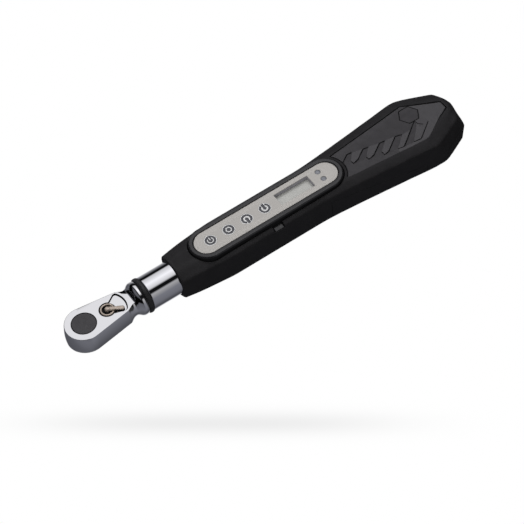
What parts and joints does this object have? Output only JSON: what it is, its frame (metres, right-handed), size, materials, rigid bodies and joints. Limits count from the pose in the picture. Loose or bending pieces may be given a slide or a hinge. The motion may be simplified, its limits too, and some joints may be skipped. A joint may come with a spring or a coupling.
{
  "type": "digital torque wrench",
  "caption": "Compact electronic torque wrench with a flat round ratchet head, flip lever, square drive, round steel barrel and a faceted flared handle with keys and a small display.",
  "frame": {"origin": "centre of the drive square's end face", "axes": "+X from the drive axis to the handle end, +Z along the drive axis out of the display face, +Y completes a right-handed frame"},
  "size_m": [0.2321, 0.038, 0.0245],
  "materials": {
    "polished_chrome": "polished chrome plate on forged steel",
    "barrel_chrome": "bright chrome plate",
    "black_oxide_steel": "black oxide",
    "zinc_steel": "zinc plated",
    "spring_steel": "oiled spring steel",
    "bearing_steel": "ground",
    "bronze_lever": "satin bronze-coloured plate",
    "seal_rubber": "moulded nitrile rubber",
    "gauge_foil": "polyimide film with metal foil",
    "wire_insulation": "soft insulated wire",
    "handle_black": "fine spark-eroded texture",
    "inlay_grey": "soft-touch elastomer",
    "bezel_black": "satin moulded",
    "faceplate_beige": "printed matte film",
    "key_face": "printed matte film",
    "board_green": "solder mask",
    "chip_black": "moulded epoxy",
    "lcd_grey": "reflective liquid crystal glass",
    "led_lens": "smoked lens",
    "cell_jacket": "plain shrink jacket",
    "contact_nickel": "nickel plated"
  },
  "bodies": {
    "frame": {"ratchet_head": "polished_chrome", "gear_cover_plate": "zinc_steel", "snap_ring": "spring_steel", "pawl_pin": "bearing_steel", "collar_o_ring": "seal_rubber", "barrel_tube": "barrel_chrome", "sensing_beam": "zinc_steel", "head_cross_pin": "bearing_steel", "beam_anchor_pin": "bearing_steel", "strain_gauges": "gauge_foil", "gauge_wires": "wire_insulation", "handle_body": "handle_black", "grip_inlay": "inlay_grey", "display_bezel": "bezel_black", "bezel_gasket": "seal_rubber", "faceplate": "faceplate_beige", "dome_switches": "zinc_steel", "circuit_board": "board_green", "board_chips": "chip_black", "buzzer": "chip_black", "lcd_module": "lcd_grey", "lcd_connector": "seal_rubber", "indicator_leds": "led_lens", "battery_tray": "bezel_black", "aaa_cells": "cell_jacket", "contact_plates": "contact_nickel", "battery_springs": "contact_nickel", "handle_screws": "black_oxide_steel"},
    "drive": {"drive_gear": "black_oxide_steel", "detent_spring": "spring_steel"},
    "detent": {"detent_ball": "bearing_steel"},
    "pawl_rocker": {"pawl": "black_oxide_steel"},
    "lever": {"reversing_lever": "bronze_lever", "lever_clip": "spring_steel", "lever_plunger": "bearing_steel", "plunger_spring": "spring_steel"},
    "power_button": {"key_power": "key_face"},
    "mode_button": {"key_mode": "key_face"},
    "up_button": {"key_up": "key_face"},
    "down_button": {"key_down": "key_face"},
    "cover": {"battery_cover": "handle_black"}
  },
  "joints": [
    {"name": "drive_spin", "type": "hinge", "parent": "frame", "child": "drive", "pos_m": [0, 0, 0.013], "axis": [0, 0, 1], "continuous": true},
    {"name": "detent_press", "type": "slide", "parent": "drive", "child": "detent", "axis": [0, -1, 0], "range_m": [0, 0.0005], "deforming": ["detent_spring"]},
    {"name": "lever_flip", "type": "hinge", "parent": "frame", "child": "lever", "pos_m": [0.0133, 0, 0.013], "axis": [0, 0, 1], "range_deg": [0, 64]},
    {"name": "pawl_rock", "type": "hinge", "parent": "frame", "child": "pawl_rocker", "pos_m": [0.0102, 0, 0.013], "axis": [0, 0, 1], "range_deg": [-8.21, 0]},
    {"name": "power_press", "type": "slide", "parent": "frame", "child": "power_button", "axis": [0, 0, -1], "range_m": [0, 0.00035]},
    {"name": "mode_press", "type": "slide", "parent": "frame", "child": "mode_button", "axis": [0, 0, -1], "range_m": [0, 0.00035]},
    {"name": "up_press", "type": "slide", "parent": "frame", "child": "up_button", "axis": [0, 0, -1], "range_m": [0, 0.00035]},
    {"name": "down_press", "type": "slide", "parent": "frame", "child": "down_button", "axis": [0, 0, -1], "range_m": [0, 0.00035]},
    {"name": "cover_lift", "type": "slide", "parent": "frame", "child": "cover", "axis": [0, 0, -1], "range_m": [0, 0.03]}
  ],
  "couplings": [
    {"joint": "pawl_rock", "follows": "lever_flip", "ratio": -0.12812}
  ]
}
